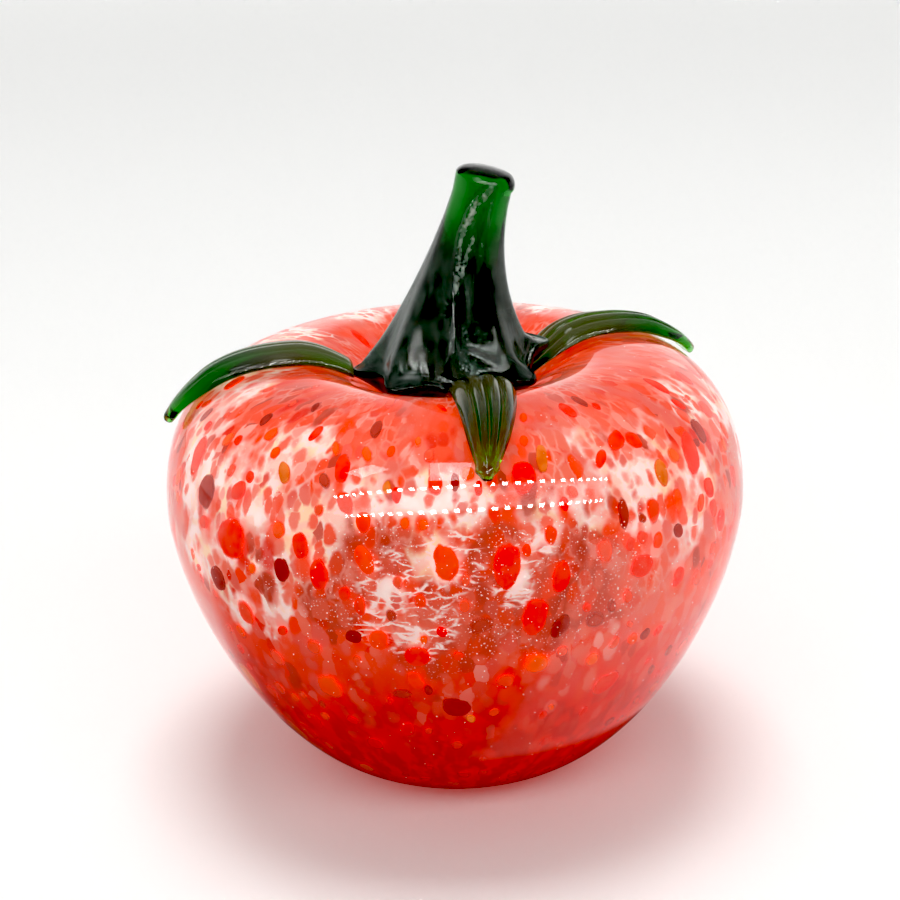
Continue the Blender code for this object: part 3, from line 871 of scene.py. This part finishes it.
def clear_glass():
    """Fire-polished glass: clear, with the faint waves of hand work in its skin."""
    g = new_material("clear_glass")
    place = g.place()
    waves = g.noise(place, 45, 2)
    drawn = g.node("Bump", {"Strength": 0.05, "Distance": 0.002, "Height": waves})
    polish = g.ramp(g.noise(place, 90, 2), 0.3, 0.7, 0.008, 0.025)
    return g.set(
        Base_Color=(1.0, 1.0, 1.0), Roughness=polish, IOR=CLEAR_IOR, Transmission_Weight=1.0, Normal=drawn
    )


CLEAR_GREEN = (0.90, 1.0, 0.93)
# Paler base colours for the stem's hazy and frosted places: painted sheen and highlight.
HAZE_AND_SHEEN_GREEN = (0.36, 0.52, 0.42)
FROST_AND_SHEEN_GREEN = (0.82, 0.97, 0.86)
OLIVE = (0.62, 0.56, 0.30)
STEM_GREEN, STEM_DENSITY = (0.16, 0.68, 0.20), 620.0
LEAF_GREEN, LEAF_DENSITY, LEAF_HAZE = (0.22, 0.72, 0.02), 1050.0, 0.14
LEAF_HAZE_RADII = (26 * MM, 43 * MM)


def green_glass(name, tint, density, haze=0.0, frosted_and_sheened=False):
    """Solid green glass: darker the further light goes through it, and hazy or frosted in places, where a
    paler base colour paints sheen and highlight.
    """
    g = new_material(name)
    place = g.place()
    polish = g.ramp(g.noise(place, 260, 3), 0.35, 0.7, 0.010, 0.07)
    waves = g.noise(place, 150, 2)
    drawn = g.node("Bump", {"Strength": 0.10, "Distance": 0.001, "Height": waves})
    g.set(Base_Color=CLEAR_GREEN, Roughness=polish, IOR=GREEN_IOR, Transmission_Weight=1.0, Normal=drawn)
    if haze:
        near_root = g.ramp(g.length(g.scaled(place, (1.0, 1.0, 0.0))), *LEAF_HAZE_RADII, 1.0, 0.1)
        g.set(Base_Color=g.mix(near_root, CLEAR_GREEN, OLIVE))
        g.set(Transmission_Weight=g.minus(1.0, g.times(near_root, haze)))
    if frosted_and_sheened:
        streaks = g.noise(g.scaled(place, (1.0, 1.0, 0.22)), 620, 4)
        frost_and_sheen = g.times(g.attribute("frost_and_sheen"), g.ramp(streaks, 0.34, 0.62, 0.6, 1.0))
        speckle = g.ramp(g.noise(place, 1500, 3), 0.44, 0.60, 0.50, 1.0)
        frost_and_sheen = g.mix(g.ramp(frost_and_sheen, 0.32, 0.45), frost_and_sheen, g.times(frost_and_sheen, speckle))
        # Painted sheen and highlight: the frosted places take a pale base colour and let less light
        # through.
        skin = g.mix(g.ramp(frost_and_sheen, 0.02, 0.16), CLEAR_GREEN, HAZE_AND_SHEEN_GREEN)
        skin = g.mix(g.ramp(frost_and_sheen, 0.42, 0.95), skin, FROST_AND_SHEEN_GREEN)
        g.set(Base_Color=skin, Roughness=g.ramp(frost_and_sheen, 0.0, 0.6, 0.02, 0.40))
        g.set(Transmission_Weight=g.ramp(frost_and_sheen, 0.0, 1.0, 1.0, 0.20))
    absorb = g.add("VolumeAbsorption")
    absorb.inputs["Color"].default_value = (*tint, 1.0)
    absorb.inputs["Density"].default_value = density
    g.tree.links.new(absorb.outputs[0], g.tree.nodes["Material Output"].inputs["Volume"])
    return g.owner


# Painted glow: emission that stands in for the light reaching the colours through the glass from behind.
PAINTED_GLOW = 0.42
WHITE = (1.0, 0.93, 0.87)
CREAM = (1.0, 0.74, 0.50)
PALE_PINK = (0.98, 0.62, 0.52)
MILKY_PINK = (0.92, 0.42, 0.35)
SALMON = (0.86, 0.20, 0.135)
VEIL_PINK = (0.84, 0.22, 0.155)
ROSE = (0.74, 0.150, 0.115)
CORAL = (0.90, 0.100, 0.045)
ORANGE_RED = (0.93, 0.062, 0.006)
RED = (0.72, 0.026, 0.010)
ROSE_BROWN = (0.50, 0.070, 0.042)
DUST_AND_REFLECTION_BROWN = (0.50, 0.085, 0.050)
DEEP_RED = (0.56, 0.018, 0.009)

# Cells per metre in the flow's coordinates, and how much longer than wide they are drawn.
SMALL_CELLS, LARGE_CELLS, CRACKLE_CELLS = 450.0, 235.0, 640.0
SMALL_OVAL, LARGE_OVAL, CRACKLE_OVAL = (1.0, 1.0, 0.60), (1.0, 1.0, 0.52), (0.42, 0.42, 1.15)
SMALL_CELL_COLOURS = (
    (0.0, SALMON), (0.20, CORAL), (0.43, ROSE), (0.56, MILKY_PINK), (0.63, SALMON), (0.75, ROSE_BROWN),
    (0.83, ORANGE_RED), (0.94, RED),
)
LARGE_CELL_COLOURS = (
    (0.0, CORAL), (0.30, ORANGE_RED), (0.48, SALMON), (0.66, ROSE), (0.80, ROSE_BROWN), (0.88, RED),
)


def mottled_glass():
    """Powder and fine chips fused together: soft oval cells in a ground that is pale in patches."""
    g = new_material("mottled_glass")
    flow = g.attribute("flow", output=1)
    height, run = g.axis(g.place(), 2), g.axis(flow, 2)
    bent = g.jitter(flow, 260, 0.0028)
    ovals = g.scaled(bent, SMALL_OVAL)

    # Where the powder shows white, where it is crackled, and where it is dusty with fine bubbles; the
    # dusty patches in front are also a painted dim reflection.
    wander = g.minus(g.noise(flow, 130, 3), 0.5)
    milky = g.ramp(g.plus(g.attribute("milky"), g.times(wander, 2.0)), 0.25, 1.0)
    # Painted shade: fewer white patches low on the body.
    milky = g.times(milky, g.ramp(height, 0.018, 0.042))
    dust_and_reflection = g.ramp(g.minus(g.attribute("dust_and_reflection"), wander), 0.15, 0.6)
    crackled = g.ramp(g.plus(g.attribute("crackled"), wander), 0.15, 0.6)

    ground = g.mix(g.ramp(g.noise(flow, 75, 3), 0.40, 0.60), ROSE, CORAL)
    ground = g.mix(g.ramp(g.noise(flow, 110, 2), 0.54, 0.64, 0.0, 0.7), ground, ORANGE_RED)
    # Painted dim reflection with dusty powder: the dusty patches turn a greyer brown.
    ground = g.mix(g.times(dust_and_reflection, 0.75), ground, DUST_AND_REFLECTION_BROWN)
    # Painted shade: the ground turns red low on the body.
    ground = g.mix(g.ramp(height, 0.022, 0.046, 0.7, 0.0), ground, RED)
    white = g.mix(g.ramp(g.noise(flow, 170, 2), 0.50, 0.66), WHITE, CREAM)
    white = g.mix(g.ramp(g.noise(bent, 300, 3), 0.46, 0.62, 0.0, 0.85), white, PALE_PINK)
    colour = g.mix(milky, ground, white)

    # Small cells, with gaps between them where the powder is milky.
    distance, pick, size = g.cells(ovals, SMALL_CELLS)
    reach = g.plus(g.ramp(size, 0.0, 1.0, 0.50, 0.70), g.ramp(milky, 0.0, 1.0, 0.16, 0.0))
    softness = g.ramp(g.noise(flow, 85, 2), 0.38, 0.62, 1.9, 4.6)
    inside = g.times(g.minus(reach, distance), softness)
    cell = g.mix(g.ramp(milky, 0.3, 1.0, 0.0, 0.25), g.colours(pick, SMALL_CELL_COLOURS), MILKY_PINK)
    melt = g.ramp(run, 0.100, 0.124, 0.08, 0.80)
    # Painted shade: the cells melt into the ground low on the body.
    melt = g.math("MAXIMUM", melt, g.ramp(height, 0.026, 0.048, 0.62, 0.0))
    cell = g.mix(g.math("MAXIMUM", melt, g.times(dust_and_reflection, 0.6)), cell, ground)
    colour = g.mix(g.ramp(inside, 0.0, 1.0), colour, cell)

    # Faint pale seams between the cells, and larger soft cells over some of them.
    seams = g.ramp(g.cell_edges(ovals, SMALL_CELLS), 0.0, 0.16, 1.0, 0.0)
    seams = g.times(seams, g.ramp(g.noise(flow, 90, 2), 0.45, 0.64, 0.0, 0.34))
    # Painted shade: no pale seams low on the body.
    colour = g.mix(g.times(seams, g.ramp(height, 0.034, 0.052)), colour, PALE_PINK)
    distance, pick, size = g.cells(g.scaled(bent, LARGE_OVAL), LARGE_CELLS)
    reach = g.ramp(size, 0.44, 0.52, -1.0, 0.52)
    inside = g.times(g.minus(reach, distance), softness)
    colour = g.mix(g.ramp(inside, 0.0, 1.0, 0.0, 0.88), colour, g.colours(pick, LARGE_CELL_COLOURS))

    # A thin pink veil over some of it.
    veil = g.ramp(g.noise(flow, 62, 2), 0.50, 0.66, 0.0, 0.50)
    # Painted shade: no veil low on the body.
    colour = g.mix(g.times(veil, g.ramp(height, 0.030, 0.050)), colour, VEIL_PINK)

    # Crackle: thin pale lines that run mostly level.
    lines = g.ramp(g.cell_edges(g.scaled(bent, CRACKLE_OVAL), CRACKLE_CELLS), 0.0, 0.15, 1.0, 0.0)
    broken = g.ramp(g.noise(g.scaled(flow, (1.0, 1.0, 2.0)), 330, 2), 0.40, 0.58, 0.0, 0.95)
    colour = g.mix(g.times(lines, g.times(crackled, broken)), colour, WHITE)

    # Painted glints: white specks for the fine bubbles that glitter in the dusty patches.
    painted_glints = g.ramp(g.noise(flow, 2600, 1), 0.66, 0.74)
    colour = g.mix(g.times(painted_glints, g.ramp(dust_and_reflection, 0.0, 1.0, 0.05, 0.8)), colour, WHITE)

    # Low on the body the colour turns darker and redder: painted shade, with some of it for the thicker
    # glass there.
    shaded_low_red = g.mix(g.ramp(g.noise(ovals, 240, 2), 0.42, 0.60), DEEP_RED, RED)
    wander = g.times(wander, 0.016)
    colour = g.mix(g.ramp(g.plus(height, wander), 0.012, 0.044, 0.94, 0.0), colour, shaded_low_red)
    g.set(Base_Color=colour, Roughness=0.35, Specular_IOR_Level=0.05)
    # Painted glow: the powder's colours glow faintly, for light from behind.
    return g.set(Emission_Color=colour, Emission_Strength=PAINTED_GLOW)


# The palest and the fullest tint of each colour of chip.
CHIP_TINTS = {
    "red": ((0.88, 0.11, 0.055), (0.90, 0.022, 0.001)),
    "orange": ((0.94, 0.13, 0.03), (0.95, 0.062, 0.002)),
    "dark_red": ((0.52, 0.075, 0.045), (0.35, 0.016, 0.006)),
    "amber": ((0.90, 0.30, 0.09), (0.70, 0.15, 0.02)),
}


def chip_glass(colour):
    """Coloured glass, redder low down as painted shade, that thins out softly towards the rim of each
    chip.
    """
    g = new_material(f"{colour}_glass")
    pale, full = CHIP_TINTS[colour]
    tint = g.mix(g.ramp(g.attribute("tint"), 0.2, 0.8), pale, full)
    place = g.place()
    cloud = g.ramp(g.noise(place, 420, 2), 0.35, 0.65, 0.0, 0.45)
    tint = g.mix(cloud, tint, pale)
    ragged = g.times(g.minus(g.noise(place, 700, 3), 0.5), 0.35)
    rim = g.plus(g.attribute("rim"), ragged)
    solid = g.ramp(rim, g.ramp(g.attribute("tint"), 0.1, 0.9, 0.40, 0.80), 0.91, 1.0, 0.0)
    tint = g.mix(g.ramp(rim, 0.7, 1.0, 0.0, 0.35), tint, SALMON)
    # Painted shade: the chips turn deep red low on the body.
    tint = g.mix(g.ramp(g.axis(g.place(), 2), 0.006, 0.040, 0.7, 0.0), tint, DEEP_RED)
    g.set(Base_Color=tint, Roughness=0.2, Specular_IOR_Level=0.05, Alpha=solid)
    # Painted glow: the chip's colour glows faintly, for light from behind.
    return g.set(Emission_Color=tint, Emission_Strength=PAINTED_GLOW)


def seed_glass():
    g = new_material("seed_bubbles")
    # Painted glints: the bubbles glow in specks.
    painted_glint = g.ramp(g.noise(g.place(), 900, 1), 0.4, 0.6, 0.1, 1.2)
    g.set(Base_Color=(0.98, 0.95, 0.93), Roughness=0.1)
    return g.set(Emission_Color=(1.0, 0.93, 0.88), Emission_Strength=painted_glint)


# ---- seeds


# Six-sided seed bubbles. The cluster's and the others' places are (azimuth, run up the outline)
# in degrees and mm: the middle and the spread, or the range.
SEED_COUNT = 1500
SEED_SEED = 5
SEED_SIDES = 6
CLUSTER_SHARE = 0.6
CLUSTER_AZIMUTH, CLUSTER_RUN = (277, 21), (84, 9)
OTHER_RUNS = (30, 118)
SEED_RADII, SEED_DEPTHS = (0.04, 0.11), (0.5, 1.9)


def seeds():
    """Tiny seed bubbles caught in the casing, thickest round the front."""
    dice = random.Random(SEED_SEED)
    vertices, faces = [], []
    for _ in range(SEED_COUNT):
        in_cluster = dice.random() < CLUSTER_SHARE
        azimuth = radians(dice.gauss(*CLUSTER_AZIMUTH)) if in_cluster else dice.uniform(0, tau)
        run = dice.gauss(*CLUSTER_RUN) * MM if in_cluster else dice.uniform(*OTHER_RUNS) * MM
        run = min(SKIN.hole - 3 * MM, max(20 * MM, run))
        radius = dice.uniform(*SEED_RADII) * MM
        r, z = SKIN.under(run, dice.uniform(*SEED_DEPTHS) * MM)
        centre = turned(r, azimuth, z)
        first = len(vertices)
        for up in (-1, 1):
            vertices.append(tuple(centre + Vector((0, 0, up * radius))))
        for i in range(SEED_SIDES):
            vertices.append(tuple(centre + turned(radius, tau * i / SEED_SIDES, 0)))
            a, b = first + 2 + i, first + 2 + (i + 1) % SEED_SIDES
            faces += [[first + 1, a, b], [first, b, a]]
    return closed_piece("seed_bubbles", vertices, faces)


# ---- stage


FLOOR_RADIUS, FLOOR_Z, FLOOR_SIDES = 4.0, -0.2 * MM, 96
DARK_BOUNCE, LIT_BOUNCE, SEEN_FLOOR = (0.22, 0.22, 0.22), (0.90, 0.90, 0.90), (0.95, 0.95, 0.94)
MIRRORED_GLOW = 0.11


def floor():
    """A pale floor. In front it bounces less light than it shows, as if the room were darker there."""
    rim = turned_ring(FLOOR_RADIUS, FLOOR_Z, FLOOR_SIDES)
    obj = add_mesh("floor", rim, [list(range(FLOOR_SIDES))])
    g = new_material("pale_floor")
    place = g.place()
    x, y, away = g.axis(place, 0), g.axis(place, 1), g.length(place)
    aslant = g.plus(y, g.times(x, 0.9))
    lit = g.math("MAXIMUM", g.ramp(aslant, -0.040, -0.030), g.ramp(y, -0.01, 0.02))
    lit = g.times(lit, g.ramp(away, 0.034, 0.038))
    ray = g.add("LightPath").outputs
    seen, mirrored = ray["Is Camera Ray"], ray["Is Glossy Ray"]
    g.set(Base_Color=g.mix(seen, g.mix(lit, DARK_BOUNCE, LIT_BOUNCE), SEEN_FLOOR), Roughness=0.8)

    # It glows faintly: far off, to meet the pale backdrop, and a little where the glass mirrors it.
    far = g.times(seen, g.ramp(away, 0.6, 3.2, 0.05, 0.60))
    near = g.times(mirrored, g.times(lit, MIRRORED_GLOW))
    g.set(Emission_Color=(1.0, 1.0, 0.99), Emission_Strength=g.math("MAXIMUM", far, near))
    obj.data.materials.append(g.owner)


def facing_object(obj, azimuth, elevation, distance):
    """Puts a light in this direction from the object, facing it."""
    azimuth, elevation = radians(azimuth), radians(elevation)
    direction = turned(cos(elevation), azimuth, sin(elevation))
    obj.location = CAMERA_TARGET + direction * distance
    obj.rotation_euler = direction.to_track_quat("Z", "Y").to_euler()


def area_light(name, direction, distance, size, radiance, glossy=True):
    """A soft rectangular light, as bright as its radiance says."""
    light = bpy.data.lights.new(name, "AREA")
    light.shape = "RECTANGLE"
    light.size, light.size_y = size
    light.energy = radiance * pi * size[0] * size[1]
    obj = add_object(name, light)
    obj.visible_glossy = glossy
    facing_object(obj, *direction, distance)


def lamps(name, direction, distance, faces, radiance):
    """Small bright faces, as (x, y, width, height), that show only as reflections."""
    vertices = [
        (x + w * across, y + h * up, 0.0)
        for x, y, w, h in faces
        for across, up in ((-0.5, -0.5), (0.5, -0.5), (0.5, 0.5), (-0.5, 0.5))
    ]
    obj = add_mesh(name, vertices, [list(range(4 * i, 4 * i + 4)) for i in range(len(faces))])
    obj.visible_camera = obj.visible_diffuse = obj.visible_transmission = obj.visible_shadow = False
    facing_object(obj, *direction, distance)
    g = new_material(name)
    g.set(Base_Color=(0.0, 0.0, 0.0), Emission_Color=(1.0, 1.0, 1.0), Emission_Strength=radiance)
    g.owner.cycles.emission_sampling = "NONE"
    obj.data.materials.append(g.owner)


def studio_walls():
    """A white tent round the object that is open, and so dark, on the side in front."""
    g = Graph(bpy.data.worlds.new("studio"), "Background")
    direction = g.node("TexCoord")
    aslant = g.plus(g.axis(direction, 1), g.times(g.axis(direction, 0), -0.25))
    wall = g.ramp(aslant, -0.50, 0.15, 0.06, 1.1)
    roof = g.ramp(g.axis(direction, 2), 0.12, 0.5, 1.0, 0.34)
    ray = g.add("LightPath").outputs
    inputs = {0: ray["Is Camera Ray"], 2: g.times(wall, roof), 3: 0.92}
    g.set(Color=(1.0, 1.0, 0.99), Strength=g.node("Mix", inputs))
    bpy.context.scene.world = g.owner


# The panel in front, with a row of lamps along each long edge: (azimuth, elevation), sizes in metres.
PANEL = (278, 44)
PANEL_WIDTH, PANEL_HEIGHT = 1.7, 0.30
LAMPS_IN_ROW = 28
LAMP_SIZE = (0.026, 0.042)


def lights():
    area_light("front_panel", PANEL, 0.81, (PANEL_WIDTH, PANEL_HEIGHT), 2.0)
    rows = [
        (PANEL_WIDTH * ((i + 0.5) / LAMPS_IN_ROW - 0.5), side * PANEL_HEIGHT, *LAMP_SIZE)
        for side in (-0.5, 0.5)
        for i in range(LAMPS_IN_ROW)
    ]
    lamps("lamp_rows", PANEL, 0.80, rows, 40.0)
    lamps("window", (266, 71), 2.4, [(0.0, 0.0, 0.46, 0.80)], 6.0)
    lamps("side_window", (210, 61), 2.4, [(0.0, 0.0, 0.30, 0.50)], 6.0)
    area_light("overhead_softbox", (90, 82), 2.4, (1.0, 1.0), 9.0, glossy=False)
    studio_walls()


def contrast():
    """The photograph's contrast: the darkest tones go to black."""
    view = bpy.context.scene.view_settings
    view.view_transform = "Standard"
    view.use_curve_mapping = True
    view.curve_mapping.black_level = (0.036, 0.036, 0.036)
    view.curve_mapping.white_level = (0.88, 0.88, 0.88)
    view.curve_mapping.update()


def camera():
    data = bpy.data.cameras.new("camera")
    data.lens = CAMERA_LENS
    data.shift_x, data.shift_y = CAMERA_SHIFT
    obj = add_object("camera", data)
    forward = Vector((0, cos(CAMERA_ELEVATION), -sin(CAMERA_ELEVATION)))
    up = Vector((0, sin(CAMERA_ELEVATION), cos(CAMERA_ELEVATION)))
    right = Vector((1, 0, 0))
    c, s = cos(CAMERA_ROLL), sin(CAMERA_ROLL)
    axes = Matrix((right * c + up * s, up * c - right * s, -forward)).transposed()
    obj.matrix_world = Matrix.Translation(CAMERA_TARGET - forward * CAMERA_DISTANCE) @ axes.to_4x4()
    bpy.context.scene.camera = obj


def main():
    camera()
    depths = (0.0, CASING_FUSED_DEPTH)
    casing = layer("casing", depths, CASING_SEGMENTS, CASING_RINGS, ripple=CASING_RIPPLE)
    show(casing, clear_glass(), "clear_glass", "clear_casing")
    show(powder_layer(), mottled_glass(), "white_powder", "white_powder_layer")
    bubble = layer("first_gather", BUBBLE_DEPTHS, BUBBLE_SEGMENTS, BUBBLE_RINGS)
    show(bubble, clear_glass(), "clear_glass", "inner_bubble")
    chips = deal_chips()
    for colour in CHIP_COLOURS:
        nodes = [node for node in NODES if node.startswith(f"{colour}_chip_")]
        own = [chip for chip in chips if chip.colour == colour]
        show(chip_piece(colour, own), chip_glass(colour), f"{colour}_glass", *nodes)
    bubbles = seeds()
    bubbles.data.materials.append(seed_glass())
    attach(bubbles, "root")
    stalk = stem()
    add_frost_and_sheen(stalk)
    stem_glass = green_glass("stem_green", STEM_GREEN, STEM_DENSITY, frosted_and_sheened=True)
    show(stalk, stem_glass, "green_glass", "stem")
    leaf_glass = green_glass("leaf_green", LEAF_GREEN, LEAF_DENSITY, haze=LEAF_HAZE)
    for name in LEAVES:
        show(leaf(name), leaf_glass, "green_glass", name)
    floor()
    lights()
    contrast()


main()
